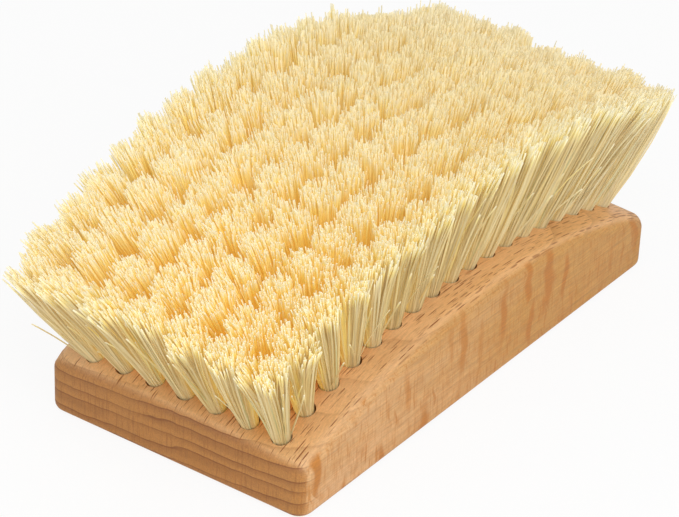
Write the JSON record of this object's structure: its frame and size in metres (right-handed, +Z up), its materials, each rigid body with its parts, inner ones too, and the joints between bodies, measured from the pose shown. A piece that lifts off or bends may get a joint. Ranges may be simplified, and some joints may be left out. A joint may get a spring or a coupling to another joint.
{
  "type": "banneton brush",
  "caption": "Rectangular bench brush: a bowed beech block with a flat back, filled with fanned tufts of stiff pale plant fibre in straight rows and columns.",
  "frame": {"origin": "middle of the block's flat back, on the surface the brush rests on", "axes": "+X along the block's length, +Y across its width, +Z up from the flat back through the block to the bristle tips"},
  "size_m": [0.1795, 0.0803, 0.065],
  "materials": {
    "beech": "sanded and lightly oiled beech, satin",
    "fibre": "stiff pale plant fibre, dry and matte, trimmed square"
  },
  "bodies": {
    "root": {"wood_block": "beech", "tuft_row_01": "fibre", "tuft_row_02": "fibre", "tuft_row_03": "fibre", "tuft_row_04": "fibre", "tuft_row_05": "fibre", "tuft_row_06": "fibre", "tuft_row_07": "fibre", "tuft_row_08": "fibre", "tuft_row_09": "fibre", "tuft_row_10": "fibre", "tuft_row_11": "fibre", "tuft_row_12": "fibre", "tuft_row_13": "fibre", "tuft_row_14": "fibre", "tuft_row_15": "fibre", "tuft_row_16": "fibre", "tuft_row_17": "fibre", "tuft_row_18": "fibre"}
  },
  "joints": []
}
